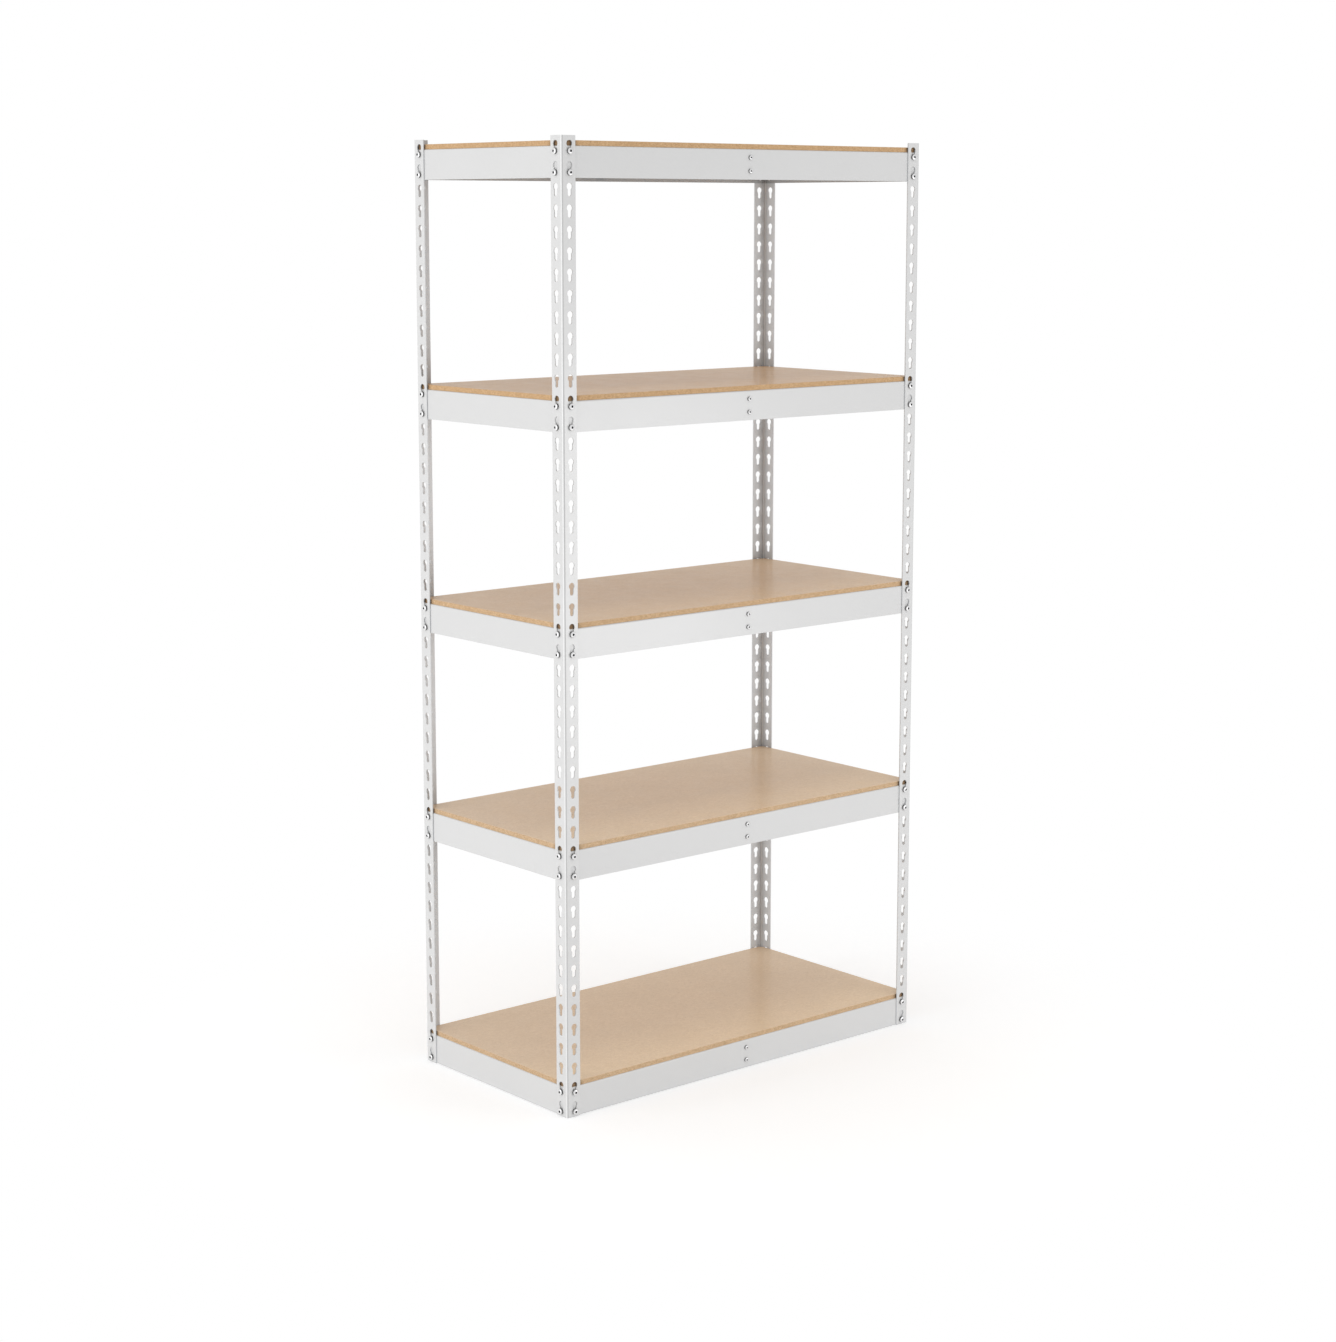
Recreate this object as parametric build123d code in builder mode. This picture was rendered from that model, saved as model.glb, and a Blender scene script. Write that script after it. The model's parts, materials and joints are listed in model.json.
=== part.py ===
from build123d import *
import os

# Boltless steel shelving: four corner posts, five frames of beams and five decks.
# Millimetres, +Z up. Origin: middle of the footprint, on the floor. X runs along the long side
# and the front is at -Y. Levels are numbered from the bottom.

# Whole object, over the posts
WIDTH = 914.4
DEPTH = 457.2
HEIGHT = 1828.8

# Posts: equal angles folded from sheet
POST_FLANGE = 31.75
POST_SHEET = 1.9
POST_BEND = 4.0

# Keyholes: one column down each flange, a round part above a narrow slot
KEYHOLE_COUNT = 48
KEYHOLE_PITCH = HEIGHT / KEYHOLE_COUNT
KEYHOLE_INSET = 18.0
KEYHOLE_FIRST_Z = 10.2
NARROW_RADIUS = 4.1
ROUND_RADIUS = 6.5
ROUND_RISE = 13.2

# Height of each level, in keyholes above the lowest
LEVELS = {1: 0, 2: 12, 3: 23, 4: 34, 5: 46}

# Beams: angles with an upright web and a flange turned in under the deck
BEAM_HEIGHT = 57.15
BEAM_FLANGE = 25.0
BEAM_SHEET = 1.5
BEAM_BEND = 2.5
BEAM_TO_POST_CORNER = 5.5
BEAM_TO_POST = 0.25
FLANGE_CUT_BACK = 30.0

# Decks
DECK_THICKNESS = 9.5
DECK_TO_POST = 1.5
DECK_TO_BEAM = 0.1
DECK_CORNER = 12.0
DECK_ARRIS = 0.6

# Rivets: head outside with a dimple in its crown, shoulder, then a tenon upset behind the sheet.
# End rivets hold a post between head and beam. Centre rivets hold the tab of the centre support.
HEAD_TO_POST = 0.5
TAB_PLAY = 0.2
RIVET_CLEARANCE = 0.05
CENTER_RIVET_SPACING = 25.4
DOME_ANGLE = 66
END_RIVET = {
    "head_radius": 5.7,
    "head_height": 4.5,
    "rim_height": 2.4,
    "dimple_radius": 1.9,
    "dimple_depth": 3.0,
    "shoulder_radius": 3.8,
    "shoulder_length": BEAM_TO_POST + POST_SHEET + HEAD_TO_POST,
    "tenon_radius": 3.0,
    "tenon_length": BEAM_SHEET,
    "upset_radius": 4.6,
    "upset_height": 1.6,
    "upset_chamfer": 0.5,
}
CENTER_RIVET = {
    "head_radius": 4.2,
    "head_height": 3.6,
    "rim_height": 2.0,
    "dimple_radius": 1.4,
    "dimple_depth": 2.0,
    "shoulder_radius": 2.5,
    "shoulder_length": 0.0,
    "tenon_radius": 2.5,
    "tenon_length": 2 * BEAM_SHEET + 2 * TAB_PLAY,
    "upset_radius": 4.0,
    "upset_height": 1.6,
    "upset_chamfer": 0.5,
}

# Centre support: a channel open downwards, with a tab at each end that hooks on the centre rivets
SUPPORT_WIDTH = 30.0
SUPPORT_SHEET = 1.5
SUPPORT_BEND = 3.0
SUPPORT_ABOVE_BEAM_EDGE = 7.5
SUPPORT_TO_FLANGE = 0.5
TAB_NARROW_RADIUS = 2.8
TAB_ROUND_RADIUS = 4.7
TAB_ROUND_DROP = 9.0

# A hole is cut to this many thicknesses of its sheet, so that it goes right through
THROUGH = 2

# Worked out from the above
WEB_X = WIDTH / 2 - POST_SHEET - BEAM_TO_POST
WEB_Y = DEPTH / 2 - POST_SHEET - BEAM_TO_POST
LONG_BEAM = WIDTH - 2 * BEAM_TO_POST_CORNER
SHORT_BEAM = DEPTH - 2 * BEAM_TO_POST_CORNER
UP = Vector(0, 0, 1)


def middle_height(level):
    """Height of a beam's middle, half way between the two keyholes it hangs in."""
    return KEYHOLE_FIRST_Z + (LEVELS[level] + 0.5) * KEYHOLE_PITCH


def top_height(level):
    return middle_height(level) + BEAM_HEIGHT / 2


def web_plane(side_x, side_y, level):
    """Plane on the outer face of a web, at its middle, x level and z outwards."""
    origin = Vector(side_x * WEB_X, side_y * WEB_Y, middle_height(level))
    outward = Vector(side_x, side_y, 0)
    return Plane(origin=origin, x_dir=UP.cross(outward), z_dir=outward)


def end_rivets(length):
    """Places of a beam's end rivets on its web plane: two at each end, one keyhole apart."""
    inset = KEYHOLE_INSET - BEAM_TO_POST_CORNER
    return GridLocations(length - 2 * inset, KEYHOLE_PITCH, 2, 2)


def center_rivets():
    return GridLocations(0, CENTER_RIVET_SPACING, 1, 2)


def write(part, name):
    part.label = name
    export_step(part, f"parts/{name}.step")


def make_post(name, side_x, side_y):
    """A post, drawn from its outer corner with the flanges along the local x and y."""
    along = (-side_x, 0, 0) if side_x == side_y else (0, -side_y, 0)
    corner = Plane(
        origin=(side_x * WIDTH / 2, side_y * DEPTH / 2, 0), x_dir=along, z_dir=(0, 0, 1)
    )
    flanges = [
        Plane(origin=corner.origin, x_dir=corner.x_dir, z_dir=-corner.y_dir),
        Plane(origin=corner.origin, x_dir=corner.y_dir, z_dir=corner.x_dir),
    ]
    middle_keyhole = KEYHOLE_FIRST_Z + (KEYHOLE_COUNT - 1) / 2 * KEYHOLE_PITCH
    with BuildPart() as post:
        with BuildSketch(corner) as section:
            Rectangle(POST_FLANGE, POST_SHEET, align=Align.MIN)
            Rectangle(POST_SHEET, POST_FLANGE, align=Align.MIN)
            outer = section.vertices().sort_by_distance((0, 0))[0]
            fillet(outer, POST_BEND)
            inner = section.vertices().sort_by_distance((POST_SHEET, POST_SHEET))[0]
            fillet(inner, POST_BEND - POST_SHEET)
        extrude(amount=HEIGHT)
        for flange in flanges:
            with BuildSketch(flange):
                with Locations((KEYHOLE_INSET, middle_keyhole)):
                    with GridLocations(0, KEYHOLE_PITCH, 1, KEYHOLE_COUNT):
                        Circle(NARROW_RADIUS)
                        Rectangle(2 * NARROW_RADIUS, ROUND_RISE, align=(Align.CENTER, Align.MIN))
                with Locations((KEYHOLE_INSET, middle_keyhole + ROUND_RISE)):
                    with GridLocations(0, KEYHOLE_PITCH, 1, KEYHOLE_COUNT):
                        Circle(ROUND_RADIUS)
            extrude(amount=THROUGH * POST_SHEET, both=True, mode=Mode.SUBTRACT)
    write(post.part, name)


def make_beam(name, side_x, side_y, level, length, has_support):
    """A beam from its section, the flange cut back at both ends, with its rivet holes."""
    web = web_plane(side_x, side_y, level)
    section_plane = Plane(origin=web.origin, x_dir=-web.z_dir, z_dir=web.x_dir)
    with BuildPart() as beam:
        with BuildSketch(section_plane) as section:
            with Locations((0, BEAM_HEIGHT / 2)):
                Rectangle(BEAM_SHEET, BEAM_HEIGHT, align=(Align.MIN, Align.MAX))
                Rectangle(BEAM_FLANGE, BEAM_SHEET, align=(Align.MIN, Align.MAX))
            outer = section.vertices().sort_by_distance((0, BEAM_HEIGHT / 2))[0]
            fillet(outer, BEAM_BEND)
            inner_corner = (BEAM_SHEET, BEAM_HEIGHT / 2 - BEAM_SHEET)
            inner = section.vertices().sort_by_distance(inner_corner)[0]
            fillet(inner, BEAM_BEND - BEAM_SHEET)
        extrude(amount=length / 2, both=True)
        with BuildSketch(section_plane.offset(length / 2), section_plane.offset(-length / 2)):
            with Locations((BEAM_BEND, BEAM_HEIGHT / 2)):
                Rectangle(BEAM_FLANGE, 2 * BEAM_BEND, align=(Align.MIN, Align.CENTER))
        extrude(amount=FLANGE_CUT_BACK, both=True, mode=Mode.SUBTRACT)
        with BuildSketch(web):
            with end_rivets(length):
                Circle(END_RIVET["tenon_radius"] + RIVET_CLEARANCE)
            if has_support:
                with center_rivets():
                    Circle(CENTER_RIVET["tenon_radius"] + RIVET_CLEARANCE)
        extrude(amount=-THROUGH * BEAM_SHEET, mode=Mode.SUBTRACT)
    write(beam.part, name)


def make_rivet(size):
    """One rivet on the local z axis, the sheet's outer face at z = 0 and the head above it."""
    seat = size["shoulder_length"]
    rim = seat + size["rim_height"]
    crown = seat + size["head_height"]
    dimple_bottom = crown - size["dimple_depth"]
    back = -size["tenon_length"]
    with BuildPart() as rivet:
        with BuildSketch(Plane.XZ):
            with BuildLine():
                dome = EllipticalCenterArc(
                    (0, rim),
                    size["head_radius"],
                    crown - rim,
                    start_angle=0,
                    arc_size=DOME_ANGLE,
                )
                Polyline(
                    dome @ 1,
                    (size["dimple_radius"], dimple_bottom),
                    (0, dimple_bottom),
                    (0, seat),
                    (size["head_radius"], seat),
                    dome @ 0,
                )
            make_face()
            with Locations((0, back)):
                Rectangle(size["tenon_radius"], seat - back, align=Align.MIN)
                upset = Rectangle(
                    size["upset_radius"], size["upset_height"], align=(Align.MIN, Align.MAX)
                )
            if seat:
                Rectangle(size["shoulder_radius"], seat, align=Align.MIN)
            rounded = upset.vertices().group_by(Axis.Y)[0].sort_by(Axis.X)[-1]
            chamfer(rounded, size["upset_chamfer"])
        revolve(axis=Axis.Z)
    return rivet.part


def make_end_rivets(level, rivet):
    """The sixteen rivets of a level, four to each beam."""
    webs = [(web_plane(0, side, level), LONG_BEAM) for side in (-1, 1)]
    webs += [(web_plane(side, 0, level), SHORT_BEAM) for side in (-1, 1)]
    with BuildPart() as rivets:
        for web, length in webs:
            with Locations(web):
                with end_rivets(length):
                    add(rivet)
    write(rivets.part, f"end_rivets_{level}")


def make_center_rivets(level, rivet):
    with BuildPart() as rivets:
        with Locations(web_plane(0, -1, level), web_plane(0, 1, level)):
            with center_rivets():
                add(rivet)
    write(rivets.part, f"center_rivets_{level}")


def make_center_support(level):
    """Channel from web to web, its top flush with the flanges and cut away under them."""
    top = top_height(level)
    depth = BEAM_HEIGHT - SUPPORT_ABOVE_BEAM_EDGE
    tab_face = WEB_Y - BEAM_SHEET - TAB_PLAY
    top_end = WEB_Y - BEAM_FLANGE - SUPPORT_TO_FLANGE
    under_flange = BEAM_BEND + SUPPORT_TO_FLANGE
    with BuildPart() as support:
        with BuildSketch(Plane.XZ) as section:
            with Locations((0, top)):
                Rectangle(SUPPORT_WIDTH, depth, align=(Align.CENTER, Align.MAX))
            with Locations((0, top - SUPPORT_SHEET)):
                Rectangle(
                    SUPPORT_WIDTH - 2 * SUPPORT_SHEET,
                    depth,
                    align=(Align.CENTER, Align.MAX),
                    mode=Mode.SUBTRACT,
                )
            fillet(section.vertices().group_by(Axis.Y)[-2], SUPPORT_BEND - SUPPORT_SHEET)
            fillet(section.vertices().group_by(Axis.Y)[-1], SUPPORT_BEND)
        extrude(amount=tab_face, both=True)
        for side in (-1, 1):
            with Locations((0, side * top_end, top)):
                along = (Align.CENTER, Align.MIN if side > 0 else Align.MAX, Align.MAX)
                Box(SUPPORT_WIDTH, BEAM_FLANGE, under_flange, align=along, mode=Mode.SUBTRACT)
            tab = web_plane(0, side, level).offset(-BEAM_SHEET - TAB_PLAY)
            with BuildSketch(tab):
                with Locations((0, BEAM_HEIGHT / 2 - under_flange)):
                    Rectangle(SUPPORT_WIDTH, depth - under_flange, align=(Align.CENTER, Align.MAX))
                with center_rivets():
                    Circle(TAB_NARROW_RADIUS, mode=Mode.SUBTRACT)
                    with Locations((0, -TAB_ROUND_DROP)):
                        Rectangle(
                            2 * TAB_NARROW_RADIUS,
                            TAB_ROUND_DROP,
                            align=(Align.CENTER, Align.MIN),
                            mode=Mode.SUBTRACT,
                        )
                        Circle(TAB_ROUND_RADIUS, mode=Mode.SUBTRACT)
            extrude(amount=-SUPPORT_SHEET)
    write(support.part, f"center_support_{level}")


def make_deck(level):
    """Particleboard deck lying on the flanges, filling the space inside the posts."""
    gap = POST_SHEET + DECK_TO_POST
    with BuildPart() as deck:
        with BuildSketch(Plane.XY.offset(top_height(level) + DECK_TO_BEAM)):
            RectangleRounded(WIDTH - 2 * gap, DEPTH - 2 * gap, DECK_CORNER)
        extrude(amount=DECK_THICKNESS)
        level_faces = deck.faces().filter_by(Axis.Z)
        chamfer(level_faces.edges(), DECK_ARRIS)
    write(deck.part, f"deck_{level}")


os.makedirs("parts", exist_ok=True)
long_sides = {"front": -1, "back": 1}
short_sides = {"left": -1, "right": 1}
end_rivet = make_rivet(END_RIVET)
center_rivet = make_rivet(CENTER_RIVET)

for depth_name, side_y in long_sides.items():
    for width_name, side_x in short_sides.items():
        make_post(f"post_{depth_name}_{width_name}", side_x, side_y)

for level in LEVELS:
    for side_name, side in long_sides.items():
        make_beam(f"long_beam_{side_name}_{level}", 0, side, level, LONG_BEAM, has_support=True)
    for side_name, side in short_sides.items():
        make_beam(f"short_beam_{side_name}_{level}", side, 0, level, SHORT_BEAM, has_support=False)
    make_end_rivets(level, end_rivet)
    make_center_rivets(level, center_rivet)
    make_center_support(level)
    make_deck(level)
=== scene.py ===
import json
import math

import bpy
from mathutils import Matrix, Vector

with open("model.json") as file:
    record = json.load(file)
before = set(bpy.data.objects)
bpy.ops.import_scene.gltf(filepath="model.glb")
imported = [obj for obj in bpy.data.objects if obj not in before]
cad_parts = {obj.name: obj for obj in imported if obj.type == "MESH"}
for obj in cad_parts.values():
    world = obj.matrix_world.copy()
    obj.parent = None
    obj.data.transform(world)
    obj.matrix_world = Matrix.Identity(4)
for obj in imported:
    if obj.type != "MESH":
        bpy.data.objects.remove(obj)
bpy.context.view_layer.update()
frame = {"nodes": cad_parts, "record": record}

# Boltless steel shelving: the studio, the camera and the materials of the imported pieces.
# Metres, +Z up. The front is at -Y and the camera stands off the front left corner.

scene = bpy.context.scene

# Camera, in the frame of the shelving
CAMERA_PLACE = (-3.3798, -3.9434, 1.6951)
CAMERA_YAW = 40.499
CAMERA_PITCH = 8.719
CAMERA_LENS = 69.962
CAMERA_SHIFT_Y = -0.045
SENSOR = 36.0

# Studio. A radiance of 1 is the white of the backdrop.
FLOOR_RADIUS = 7.0
FLOOR_SIDES = 96
FLOOR_FADE = (0.6, 1.2)
FLOOR_ALBEDO = 0.9
FLOOR_GLOW = 0.165
FLOOR_GLOW_SEEN = 0.28
SKY_LIGHT = 0.77
LIGHTS = {
    "left_box": {
        "at": (-4.0, 0.3, 1.5),
        "aim": (0, 0, 1.2),
        "size": (2.4, 3.0),
        "radiance": 1.7,
    },
    "right_strip": {
        "at": (1.7, -2.9, 0.64),
        "aim": (0.75, -1.6, 0.64),
        "size": (1.0, 1.25),
        "radiance": 3.95,
    },
}
WHITE = (1, 1, 1, 1)

# Shading of closed-in corners. It fades out from the upper to the lower of the two heights near
# the floor, and where the product of place and direction, in metres, goes from the first limit,
# on the inside, to the second, on the outside.
SHADE_RAYS = 8
NEAR_FLOOR = (0.06, 0.16)
INSIDE_TO_OUTSIDE = (0.01, 0.05)

NOISE_RANGE = (0.3, 0.7)  # where nearly all values of a noise lie


# ---------------------------------------------------------------- node building
def new_material(name):
    """A material with its shader joined to the output, and the tree to build in."""
    material = bpy.data.materials.new(name)
    material.use_nodes = True
    tree = material.node_tree
    tree.nodes.clear()
    shader = tree.nodes.new("ShaderNodeBsdfPrincipled")
    output = tree.nodes.new("ShaderNodeOutputMaterial")
    tree.links.new(shader.outputs["BSDF"], output.inputs["Surface"])
    return material, tree, shader


def add(tree, kind, inputs=None, **settings):
    """A node with its settings. Each input is a number, a colour or the output that feeds it."""
    node = tree.nodes.new("ShaderNode" + kind)
    for name, value in settings.items():
        setattr(node, name, value)
    for name, value in (inputs or {}).items():
        if isinstance(value, bpy.types.NodeSocket):
            tree.links.new(value, node.inputs[name])
        else:
            node.inputs[name].default_value = value
    return node


def place(tree):
    """Place on the piece in metres. It goes with the piece when a body moves."""
    return add(tree, "TexCoord").outputs["Object"]


def stretched(tree, vector, turn, scale):
    """The same place turned about z by an angle in degrees and then stretched."""
    rotation = (0, 0, math.radians(turn))
    turned = add(tree, "Mapping", {"Vector": vector, "Rotation": rotation}).outputs["Vector"]
    return add(tree, "Mapping", {"Vector": turned, "Scale": scale}).outputs["Vector"]


def noise(tree, vector, size, detail=3.0, roughness=0.5):
    """Noise from 0 to 1 whose blotches are about size metres across."""
    inputs = {"Vector": vector, "Scale": 1 / size, "Detail": detail, "Roughness": roughness}
    return add(tree, "TexNoise", inputs).outputs["Fac"]


def spread(tree, value, low_in, high_in, low_out, high_out):
    """Carries one range of a value over to another, and holds it at the ends."""
    inputs = {
        "Value": value,
        "From Min": low_in,
        "From Max": high_in,
        "To Min": low_out,
        "To Max": high_out,
    }
    return add(tree, "MapRange", inputs).outputs["Result"]


def math_node(tree, operation, first, second):
    return add(tree, "Math", {0: first, 1: second}, operation=operation).outputs["Value"]


def size_of(tree, value):
    """The value without its sign."""
    return math_node(tree, "ABSOLUTE", value, 0.0)


def blend_colors(tree, amount, first, second, blend="MIX"):
    """Second over first by an amount from 0 to 1."""
    inputs = {"Factor": amount, 6: first, 7: second}
    return add(tree, "Mix", inputs, data_type="RGBA", blend_type=blend).outputs[2]


def normals(tree):
    """The parts of the surface's direction, in the frame of the piece."""
    return add(tree, "SeparateXYZ", {"Vector": add(tree, "TexCoord").outputs["Normal"]}).outputs


def closed_in(tree, reach):
    """1 in the open, less where other surfaces within reach close a corner in."""
    return add(tree, "AmbientOcclusion", {"Distance": reach}, samples=SHADE_RAYS).outputs["AO"]


def bump(tree, height, depth, normal=None):
    """Relief as deep as depth, in metres, where height goes from 0 to 1."""
    inputs = {"Height": height, "Distance": depth, "Strength": 1.0}
    if normal is not None:
        inputs["Normal"] = normal
    return add(tree, "Bump", inputs).outputs["Normal"]


def faces_inwards(tree):
    """0 on surfaces that face away from the middle of the shelving, and 1 on all others."""
    level_place = add(tree, "VectorMath", {0: place(tree), 1: (1, 1, 0)}, operation="MULTIPLY")
    inputs = {0: level_place.outputs["Vector"], 1: add(tree, "TexCoord").outputs["Normal"]}
    outward = add(tree, "VectorMath", inputs, operation="DOT_PRODUCT").outputs["Value"]
    return spread(tree, outward, *INSIDE_TO_OUTSIDE, 1.0, 0.0)


def shade(tree, tint, reach, most):
    """Darker by up to most where other surfaces within reach close a corner in.

    The outer sides of the shelving and the parts near the floor stay as they are.
    """
    height = add(tree, "SeparateXYZ", {"Vector": place(tree)}).outputs["Z"]
    near_floor = spread(tree, height, *NEAR_FLOOR, 1.0, 0.0)
    open_sky = math_node(tree, "MAXIMUM", closed_in(tree, reach), near_floor)
    outer = math_node(tree, "SUBTRACT", 1.0, faces_inwards(tree))
    open_sky = math_node(tree, "MAXIMUM", open_sky, outer)
    kept = spread(tree, open_sky, 0.0, 1.0, 1 - most, 1.0)
    return add(tree, "VectorMath", {0: tint, 1: kept}, operation="MULTIPLY").outputs["Vector"]


# ---------------------------------------------------------------- powder coat
CLOUD_SIZE = 0.11
CLOUD_DARK = (0.985, 0.984, 0.982)
CLOUD_PALE = (1.012, 1.012, 1.012)
PEEL_SIZE = 0.0016
PEEL_DARK = (0.86, 0.86, 0.85)
PEEL_MOST = 0.05
PEEL_DEPTH = 0.00004
GRIT_SIZE = 0.0006
GRIT_DEPTH = 0.00001
WEAR_RADIUS = 0.0007
WEAR_RAYS = 4
WEAR_LIMITS = (0.80, 0.99)
WEAR_PATCH_SIZE = 0.02
WEAR_PATCH_NOISE = (0.35, 0.65)
WEAR_PATCHES = (0.15, 0.5)
WORN_COAT = (0.50, 0.50, 0.495, 1)
BEND_LIMITS = (0.10, 0.30)
BEND_HALVES = (-0.1, 0.1)
# A post's outer bend gets a painted dark reflection on the half turned to the front or back, and a
# painted highlight on the half turned to the left or right.
BEND_PAINTED_DARK = (0.42, 0.42, 0.42, 1)
BEND_PAINTED_DARK_MOST = 0.6
BEND_PAINTED_HIGHLIGHT = (0.90, 0.90, 0.90, 1)
BEND_PAINTED_HIGHLIGHT_MOST = 0.8
# Painted cool shade on the sides that face the inside of the shelving.
INNER_PAINTED_COOL_SHADE = (0.965, 0.99, 1.02, 1)
GLOSS_PATCH_SIZE = 0.05
GLOSS_RANGE = 0.01
COAT_IOR = 1.5


def edge_wear(tree):
    """1 on a corner sharper than the wear radius, and 0 on flat sheet."""
    rounded = add(tree, "Bevel", {"Radius": WEAR_RADIUS}, samples=WEAR_RAYS).outputs["Normal"]
    plain = add(tree, "NewGeometry").outputs["Normal"]
    same = add(tree, "VectorMath", {0: rounded, 1: plain}, operation="DOT_PRODUCT")
    sharp, flat = WEAR_LIMITS
    return spread(tree, same.outputs["Value"], flat, sharp, 0.0, 1.0)


def folded_edge(tree):
    """The two halves of a post's outer bend, each 1 there and 0 on flat sheet.

    The first turns to the front or back, the second to the left or right.
    """
    normal = normals(tree)
    along_x, along_y = size_of(tree, normal["X"]), size_of(tree, normal["Y"])
    smaller = math_node(tree, "MINIMUM", along_x, along_y)
    on_bend = spread(tree, smaller, *BEND_LIMITS, 0.0, 1.0)
    more_y = math_node(tree, "SUBTRACT", along_y, along_x)
    half = spread(tree, more_y, *BEND_HALVES, 0.0, 1.0)
    other = math_node(tree, "SUBTRACT", 1.0, half)
    return [math_node(tree, "MULTIPLY", on_bend, part) for part in (half, other)]


def powder_coat(name, albedo, roughness, reach, most):
    """White satin powder coat: orange peel, faint clouding, thin and greyer on edges; painted
    highlight and painted dark reflection on the bends; painted cool shade on inner sides and
    painted shade in closed-in corners.
    """
    material, tree, shader = new_material(name)
    spot = place(tree)
    clouds = noise(tree, spot, CLOUD_SIZE, detail=4)
    peel = noise(tree, spot, PEEL_SIZE, detail=2)
    grit = noise(tree, spot, GRIT_SIZE, detail=1)
    dark, pale, fine = (
        tuple(albedo * part for part in color) + (1,)
        for color in (CLOUD_DARK, CLOUD_PALE, PEEL_DARK)
    )
    tint = blend_colors(tree, clouds, dark, pale)
    tint = blend_colors(tree, spread(tree, peel, *NOISE_RANGE, 0.0, PEEL_MOST), tint, fine)
    patches = noise(tree, spot, WEAR_PATCH_SIZE)
    patches = spread(tree, patches, *WEAR_PATCH_NOISE, *WEAR_PATCHES)
    worn = math_node(tree, "MULTIPLY", edge_wear(tree), patches)
    tint = blend_colors(tree, worn, tint, WORN_COAT)
    # Painted dark reflection and painted highlight on the two halves of a post's outer bend.
    painted_dark_half, painted_highlight_half = folded_edge(tree)
    painted_dark_half = math_node(tree, "MULTIPLY", painted_dark_half, BEND_PAINTED_DARK_MOST)
    painted_highlight_half = math_node(tree, "MULTIPLY", painted_highlight_half, BEND_PAINTED_HIGHLIGHT_MOST)
    tint = blend_colors(tree, painted_dark_half, tint, BEND_PAINTED_DARK)
    tint = blend_colors(tree, painted_highlight_half, tint, BEND_PAINTED_HIGHLIGHT)
    # Painted shade: the sides that face inwards are tinted cooler.
    tint = blend_colors(tree, faces_inwards(tree), tint, INNER_PAINTED_COOL_SHADE, blend="MULTIPLY")
    tint = shade(tree, tint, reach, most)
    gloss = noise(tree, spot, GLOSS_PATCH_SIZE, detail=5)
    smoothest, roughest = roughness - GLOSS_RANGE, roughness + GLOSS_RANGE
    gloss = spread(tree, gloss, *NOISE_RANGE, smoothest, roughest)
    relief = bump(tree, grit, GRIT_DEPTH, bump(tree, peel, PEEL_DEPTH))
    tree.links.new(tint, shader.inputs["Base Color"])
    tree.links.new(gloss, shader.inputs["Roughness"])
    tree.links.new(relief, shader.inputs["Normal"])
    shader.inputs["IOR"].default_value = COAT_IOR
    return material


# ---------------------------------------------------------------- zinc plate
# Across the shelving, the short beams' rivets end before the first of these, and the long
# beams' rivets begin past the second.
LONG_BEAM_RIVETS = (0.2185, 0.2190)
ZINC_PATCH_SIZE = 0.004
ZINC_DARK = (0.74, 0.74, 0.75, 1)
ZINC_PALE = (0.96, 0.96, 0.96, 1)
ZINC_SPECK_SIZE = 0.0007
ZINC_DULL = (0.60, 0.60, 0.61, 1)
ZINC_DULL_NOISE = (0.55, 0.75)
ZINC_DULL_MOST = 0.3
# Painted shade on the side of a rivet's head.
ZINC_SHADED_SIDE_DARK = (0.10, 0.10, 0.10, 1)
ZINC_SHADED_SIDE_PALE = (0.20, 0.20, 0.20, 1)
ZINC_CROWN_LIMITS = (0.25, 0.60)
# Grime with painted shade in closed-in crevices of a rivet.
ZINC_GRIME_AND_SHADE = (0.03, 0.03, 0.03, 1)
ZINC_GRIME_AND_SHADE_REACH = 0.004
ZINC_GRIME_AND_SHADE_LIMITS = (0.35, 0.80)
ZINC_ROUGHNESS = (0.30, 0.45)
ZINC_RELIEF = 0.00003
ZINC_METALLIC = 0.7


def outwards(tree):
    """How far a rivet's surface faces out of its beam: 1 on the crown, 0 on the head's side."""
    across = add(tree, "SeparateXYZ", {"Vector": place(tree)}).outputs["Y"]
    on_long_beam = spread(tree, size_of(tree, across), *LONG_BEAM_RIVETS, 0.0, 1.0)
    normal = normals(tree)
    inputs = {0: on_long_beam, 2: size_of(tree, normal["X"]), 3: size_of(tree, normal["Y"])}
    return add(tree, "Mix", inputs, data_type="FLOAT").outputs[0]


def zinc(name):
    """Bright zinc plate on the crown, painted shade on the head's side, oil, grime and painted
    shade in the dimple.
    """
    material, tree, shader = new_material(name)
    spot = place(tree)
    patches = noise(tree, spot, ZINC_PATCH_SIZE, detail=4)
    specks = noise(tree, spot, ZINC_SPECK_SIZE, detail=2)
    crown = blend_colors(tree, patches, ZINC_DARK, ZINC_PALE)
    dull = spread(tree, specks, *ZINC_DULL_NOISE, 0.0, ZINC_DULL_MOST)
    crown = blend_colors(tree, dull, crown, ZINC_DULL)
    # Painted shade: the head's side is dark, while the crown keeps the bright zinc.
    side = blend_colors(tree, specks, ZINC_SHADED_SIDE_DARK, ZINC_SHADED_SIDE_PALE)
    faces_out = spread(tree, outwards(tree), *ZINC_CROWN_LIMITS, 0.0, 1.0)
    tint = blend_colors(tree, faces_out, side, crown)
    # Grime and painted shade in the dimple and other closed-in crevices.
    grime_and_shade = spread(tree, closed_in(tree, ZINC_GRIME_AND_SHADE_REACH), *ZINC_GRIME_AND_SHADE_LIMITS, 1.0, 0.0)
    tint = blend_colors(tree, grime_and_shade, tint, ZINC_GRIME_AND_SHADE)
    rough = spread(tree, patches, *NOISE_RANGE, *ZINC_ROUGHNESS)
    tree.links.new(tint, shader.inputs["Base Color"])
    tree.links.new(rough, shader.inputs["Roughness"])
    tree.links.new(bump(tree, specks, ZINC_RELIEF), shader.inputs["Normal"])
    shader.inputs["Metallic"].default_value = ZINC_METALLIC
    return material


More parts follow.
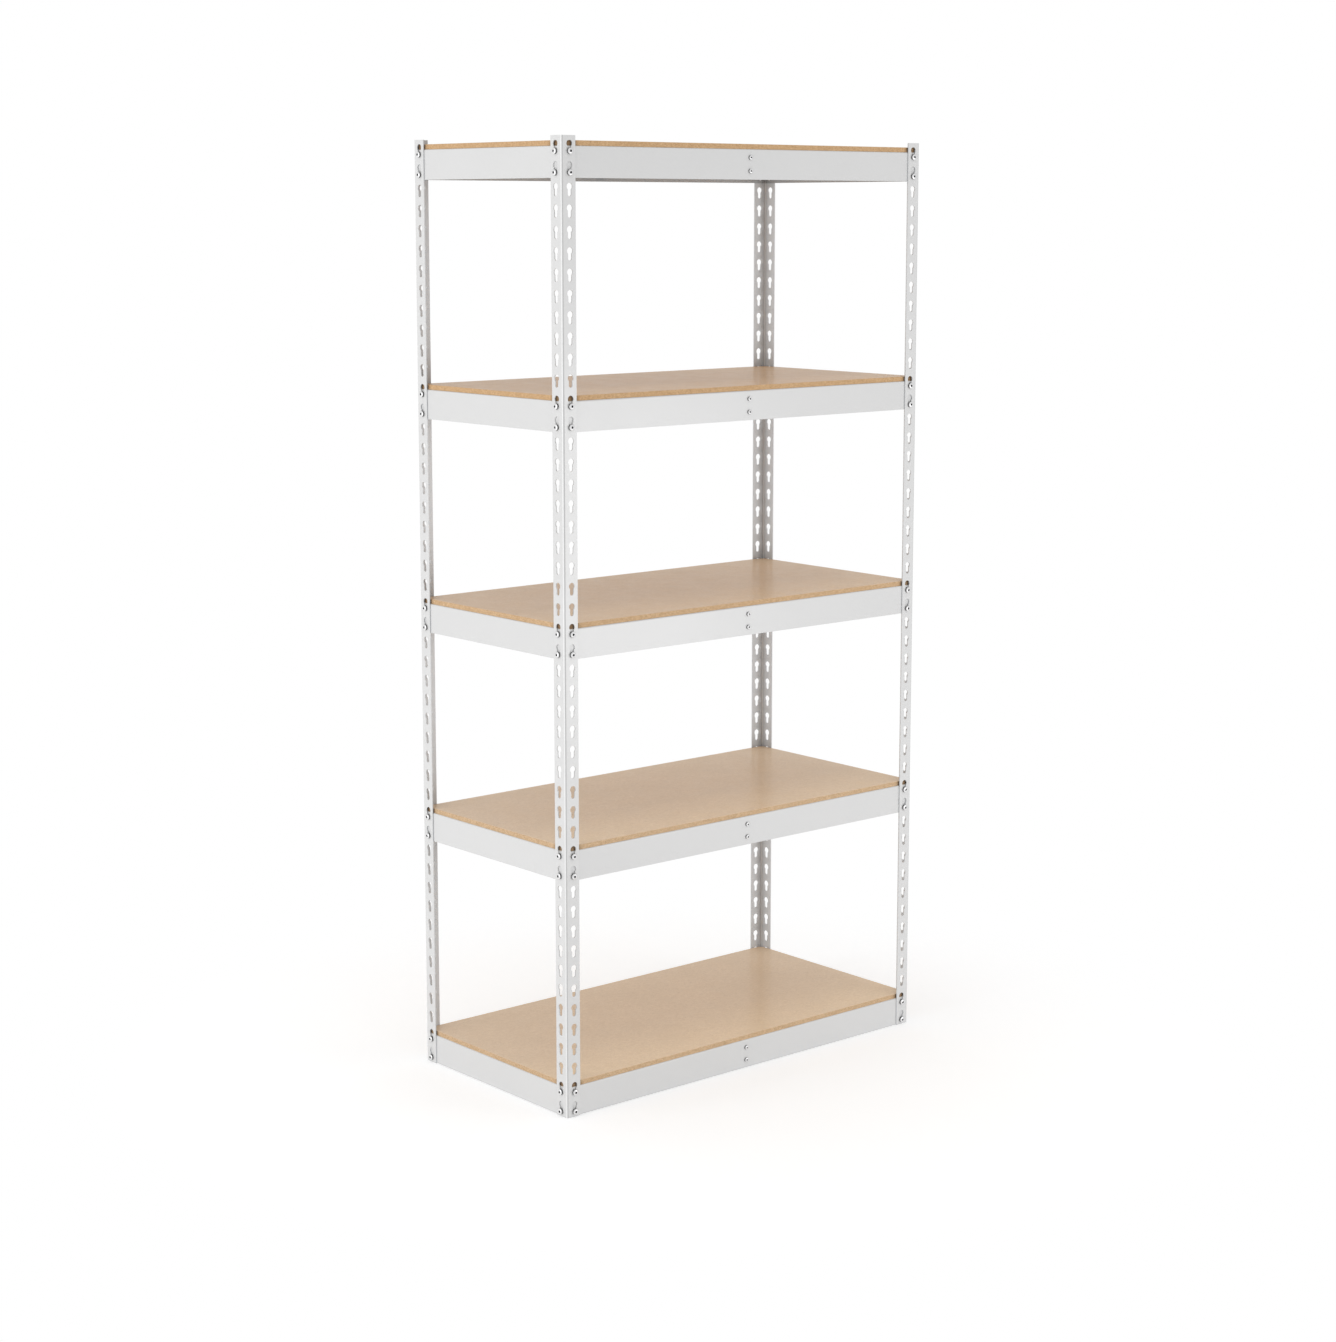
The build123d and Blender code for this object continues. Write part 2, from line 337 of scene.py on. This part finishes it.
# ---------------------------------------------------------------- particleboard
# A layer of chips is a direction in degrees and the width of a chip in metres. The boards get
# browner along z, and painted light makes them lighter along y, towards the front. CORNER_X and
# CORNER_Y say where a deck's corner begins, measured from the middle of the shelving.
FINE_CHIPS = ((20, 0.0013), (110, 0.0016))
COARSE_CHIPS = ((65, 0.0030), (155, 0.0026))
FINE_SHARE = 0.28
COARSE_SHARE = 0.22
CHIP_STRETCH = (1.0, 0.33, 1.0)
UPWARD_LIMITS = (0.6, 0.8)

FACE_DARK = (0.722, 0.524, 0.346, 1)
FACE_PALE = (0.888, 0.686, 0.485, 1)
FACE_CLOUD = (0.717, 0.536, 0.363, 1)
FACE_CLOUD_SIZE = 0.09
FACE_CLOUD_MOST = 0.35
DARK_FLECK = (0.30, 0.19, 0.11, 1)
DARK_FLECK_SIZE = 0.0022
DARK_FLECK_NOISE = (0.66, 0.76)
DARK_FLECK_MOST = 0.35
PALE_FLECK = (0.80, 0.68, 0.54, 1)
PALE_FLECK_SIZE = 0.0030
PALE_FLECK_TURN = 40
PALE_FLECK_STRETCH = (1, 0.4, 1)
PALE_FLECK_NOISE = (0.68, 0.78)
PALE_FLECK_MOST = 0.30
BROWNER_HEIGHTS = (0.6, 1.36)
BROWNER_FACE = (0.87, 0.78, 0.67, 1)
# Painted light that makes the boards lighter towards the front.
FRONT_PAINTED_LIGHT_PLACES = (-0.05, -0.20)
FRONT_PAINTED_LIGHT = (1.12, 1.12, 1.08, 1)
FACE_SHADE_REACH = 0.006
FACE_SHADE_MOST = 0.5
FACE_ROUGHNESS = (0.30, 0.40)
SANDED_PATCH_SIZE = 0.03
FACE_RELIEF = 0.00004
SHEEN_WEIGHT = 0.20
SHEEN_IOR = 4.0
SHEEN_ROUGHNESS = 0.15
BOARD_SPECULAR = 0.06

EDGE_DARK = (0.50, 0.325, 0.185, 1)
EDGE_PALE = (0.77, 0.565, 0.365, 1)
BROWNER_EDGE = (0.97, 0.90, 0.80, 1)
PIT = (0.26, 0.15, 0.08, 1)
PIT_SIZE = 0.0018
PIT_NOISE = (0.58, 0.70)
PIT_MOST = 0.5
EDGE_SHADE = (0.05, 0.032, 0.016, 1)
EDGE_SHADE_REACH = 0.02
EDGE_SHADE_LIMITS = (0.30, 0.55)
EDGE_SHADE_MOST = 0.85
POST_SHADE = (0.13, 0.08, 0.045, 1)
POST_SHADE_LIMITS = (0.80, 0.97)
POST_SHADE_MOST = 0.80
CORNER_X = (0.412, 0.418)
CORNER_Y = (0.183, 0.189)
EDGE_ROUGHNESS = 0.85
EDGE_RELIEF = 0.0004


def chips(tree, spot, turn, size):
    """Wood chips lying one way, each of a random shade and three times as long as wide."""
    laid = stretched(tree, spot, turn, CHIP_STRETCH)
    cells = add(tree, "TexVoronoi", {"Vector": laid, "Scale": 1 / size}, feature="F1")
    return add(tree, "SeparateColor", {"Color": cells.outputs["Color"]}).outputs[0]


def crossed_chips(tree, spot, layers, share):
    """Two layers of chips lying across each other, as a share of the grain."""
    first, second = (chips(tree, spot, turn, size) for turn, size in layers)
    return math_node(tree, "MULTIPLY", math_node(tree, "ADD", first, second), share)


def board_face(tree, spot, grain, browner, lit_towards_front):
    """Colour of a sanded face: pressed chips, clouds, dark and pale flecks."""
    clouds = noise(tree, spot, FACE_CLOUD_SIZE, detail=5, roughness=0.6)
    face = blend_colors(tree, grain, FACE_DARK, FACE_PALE)
    cloudy = spread(tree, clouds, *NOISE_RANGE, 0.0, FACE_CLOUD_MOST)
    face = blend_colors(tree, cloudy, face, FACE_CLOUD)
    dark = noise(tree, spot, DARK_FLECK_SIZE, detail=2)
    dark = spread(tree, dark, *DARK_FLECK_NOISE, 0.0, DARK_FLECK_MOST)
    face = blend_colors(tree, dark, face, DARK_FLECK)
    drawn_out = stretched(tree, spot, PALE_FLECK_TURN, PALE_FLECK_STRETCH)
    pale = noise(tree, drawn_out, PALE_FLECK_SIZE, detail=1)
    pale = spread(tree, pale, *PALE_FLECK_NOISE, 0.0, PALE_FLECK_MOST)
    face = blend_colors(tree, pale, face, PALE_FLECK)
    face = blend_colors(tree, browner, face, BROWNER_FACE, blend="MULTIPLY")
    # Painted light: lighter towards the front.
    return blend_colors(tree, lit_towards_front, face, FRONT_PAINTED_LIGHT, blend="MULTIPLY")


def board_edge(tree, grain, pits, browner, corner):
    """Colour of a sawn edge: more orange, with pits, and painted shade where a post covers the
    edge and at its corners by the posts.
    """
    edge = blend_colors(tree, grain, EDGE_DARK, EDGE_PALE)
    edge = blend_colors(tree, browner, edge, BROWNER_EDGE, blend="MULTIPLY")
    edge = blend_colors(tree, spread(tree, pits, *PIT_NOISE, 0.0, PIT_MOST), edge, PIT)
    open_sky = closed_in(tree, EDGE_SHADE_REACH)
    covered = spread(tree, open_sky, *EDGE_SHADE_LIMITS, EDGE_SHADE_MOST, 0.0)
    edge = blend_colors(tree, covered, edge, EDGE_SHADE)
    by_post = spread(tree, open_sky, *POST_SHADE_LIMITS, POST_SHADE_MOST, 0.0)
    by_post = math_node(tree, "MULTIPLY", corner, by_post)
    return blend_colors(tree, by_post, edge, POST_SHADE)


def particleboard(name):
    """Raw particleboard with sanded faces and sawn edges.

    The upper boards are browner, and painted light makes every board lighter towards the front.
    """
    material, tree, shader = new_material(name)
    spot = place(tree)
    fine = crossed_chips(tree, spot, FINE_CHIPS, FINE_SHARE)
    coarse = crossed_chips(tree, spot, COARSE_CHIPS, COARSE_SHARE)
    grain = math_node(tree, "ADD", fine, coarse)
    pits = noise(tree, spot, PIT_SIZE, detail=2)
    where = add(tree, "SeparateXYZ", {"Vector": spot}).outputs
    browner = spread(tree, where["Z"], *BROWNER_HEIGHTS, 0.0, 1.0)
    # Painted light: the boards get lighter towards the front.
    lit_towards_front = spread(tree, where["Y"], *FRONT_PAINTED_LIGHT_PLACES, 0.0, 1.0)
    along_x = spread(tree, size_of(tree, where["X"]), *CORNER_X, 0.0, 1.0)
    along_y = spread(tree, size_of(tree, where["Y"]), *CORNER_Y, 0.0, 1.0)
    corner = math_node(tree, "MULTIPLY", along_x, along_y)
    upward = size_of(tree, normals(tree)["Z"])
    on_face = spread(tree, upward, *UPWARD_LIMITS, 0.0, 1.0)

    face = board_face(tree, spot, grain, browner, lit_towards_front)
    edge = board_edge(tree, grain, pits, browner, corner)
    tint = blend_colors(tree, on_face, edge, face)
    tint = shade(tree, tint, FACE_SHADE_REACH, FACE_SHADE_MOST)

    sanded = noise(tree, spot, SANDED_PATCH_SIZE, detail=4)
    sanded = spread(tree, sanded, *NOISE_RANGE, *FACE_ROUGHNESS)
    smoother = math_node(tree, "SUBTRACT", EDGE_ROUGHNESS, sanded)
    smoother = math_node(tree, "MULTIPLY", on_face, smoother)
    rough = math_node(tree, "SUBTRACT", EDGE_ROUGHNESS, smoother)

    on_edge = math_node(tree, "SUBTRACT", 1.0, on_face)
    edge_height = math_node(tree, "MULTIPLY", math_node(tree, "SUBTRACT", grain, pits), on_edge)
    relief = bump(tree, edge_height, EDGE_RELIEF, bump(tree, grain, FACE_RELIEF))

    tree.links.new(tint, shader.inputs["Base Color"])
    tree.links.new(rough, shader.inputs["Roughness"])
    tree.links.new(relief, shader.inputs["Normal"])
    sheen = spread(tree, upward, *UPWARD_LIMITS, 0.0, SHEEN_WEIGHT)
    tree.links.new(sheen, shader.inputs["Coat Weight"])
    shader.inputs["Coat IOR"].default_value = SHEEN_IOR
    shader.inputs["Coat Roughness"].default_value = SHEEN_ROUGHNESS
    shader.inputs["Specular IOR Level"].default_value = BOARD_SPECULAR
    return material


# ---------------------------------------------------------------- materials on the pieces
MATERIALS = {
    "post_steel": powder_coat("post_powder_coat", 0.72, 0.25, reach=0.08, most=0.42),
    "beam_steel": powder_coat("beam_powder_coat", 0.71, 0.25, reach=0.25, most=0.90),
    "support_steel": powder_coat("support_powder_coat", 0.03, 0.45, reach=0.08, most=0.42),
    "rivet_steel": zinc("rivet_zinc"),
    "particleboard": particleboard("deck_particleboard"),
}
for subpart in frame["record"]["subparts"]:
    for slot in frame["nodes"][subpart["node"]].material_slots:
        slot.material = MATERIALS[subpart["material_slot"]]


# ---------------------------------------------------------------- studio
def make_floor():
    """A matt pale disc under the shelving. The camera sees it go to white, with no horizon."""
    bpy.ops.mesh.primitive_circle_add(
        vertices=FLOOR_SIDES, radius=FLOOR_RADIUS, fill_type="NGON"
    )
    floor = bpy.context.object
    floor.name = "studio_floor"
    material, tree, shader = new_material("studio_floor")
    near, white = FLOOR_FADE
    seen = add(tree, "LightPath").outputs["Is Camera Ray"]
    distance = add(tree, "VectorMath", {0: place(tree)}, operation="LENGTH").outputs["Value"]
    fade = {"Value": distance, "From Min": near, "From Max": white}
    far = add(tree, "MapRange", fade, interpolation_type="SMOOTHSTEP").outputs["Result"]
    shader.inputs["Base Color"].default_value = (FLOOR_ALBEDO, FLOOR_ALBEDO, FLOOR_ALBEDO, 1)
    shader.inputs["Roughness"].default_value = 1.0
    shader.inputs["Specular IOR Level"].default_value = 0.0
    shader.inputs["Emission Color"].default_value = WHITE
    glow_strength = spread(tree, seen, 0.0, 1.0, FLOOR_GLOW, FLOOR_GLOW_SEEN)
    tree.links.new(glow_strength, shader.inputs["Emission Strength"])
    glow = add(tree, "Emission", {"Color": WHITE, "Strength": 1.0}).outputs["Emission"]
    seen_far = math_node(tree, "MULTIPLY", far, seen)
    mixed = add(tree, "MixShader", {0: seen_far, 1: shader.outputs["BSDF"], 2: glow})
    tree.links.new(mixed.outputs["Shader"], tree.nodes["Material Output"].inputs["Surface"])
    floor.data.materials.append(material)


def make_light(name, at, aim, size, radiance):
    """A softbox that the camera doesn't see."""
    data = bpy.data.lights.new(name, "AREA")
    data.shape = "RECTANGLE"
    data.size, data.size_y = size
    data.energy = radiance * math.pi * data.size * data.size_y
    light = bpy.data.objects.new(name, data)
    scene.collection.objects.link(light)
    light.location = at
    light.rotation_euler = (Vector(aim) - Vector(at)).to_track_quat("-Z", "Y").to_euler()
    light.visible_camera = False


def make_sky():
    """Light from all round, and pure white where the camera sees it directly."""
    world = bpy.data.worlds.new("studio_sky")
    world.use_nodes = True
    tree = world.node_tree
    seen = add(tree, "LightPath").outputs["Is Camera Ray"]
    strength = spread(tree, seen, 0.0, 1.0, SKY_LIGHT, 1.0)
    background = tree.nodes["Background"]
    background.inputs["Color"].default_value = WHITE
    tree.links.new(strength, background.inputs["Strength"])
    scene.world = world


def make_camera():
    data = bpy.data.cameras.new("camera")
    data.sensor_fit = "AUTO"
    data.sensor_width = SENSOR
    data.lens = CAMERA_LENS
    data.shift_y = CAMERA_SHIFT_Y
    camera = bpy.data.objects.new("camera", data)
    scene.collection.objects.link(camera)
    camera.location = CAMERA_PLACE
    camera.rotation_euler = (math.radians(90 - CAMERA_PITCH), 0, -math.radians(CAMERA_YAW))
    scene.camera = camera


make_floor()
make_sky()
for name, settings in LIGHTS.items():
    make_light(name, **settings)
make_camera()
scene.view_settings.view_transform = "Standard"
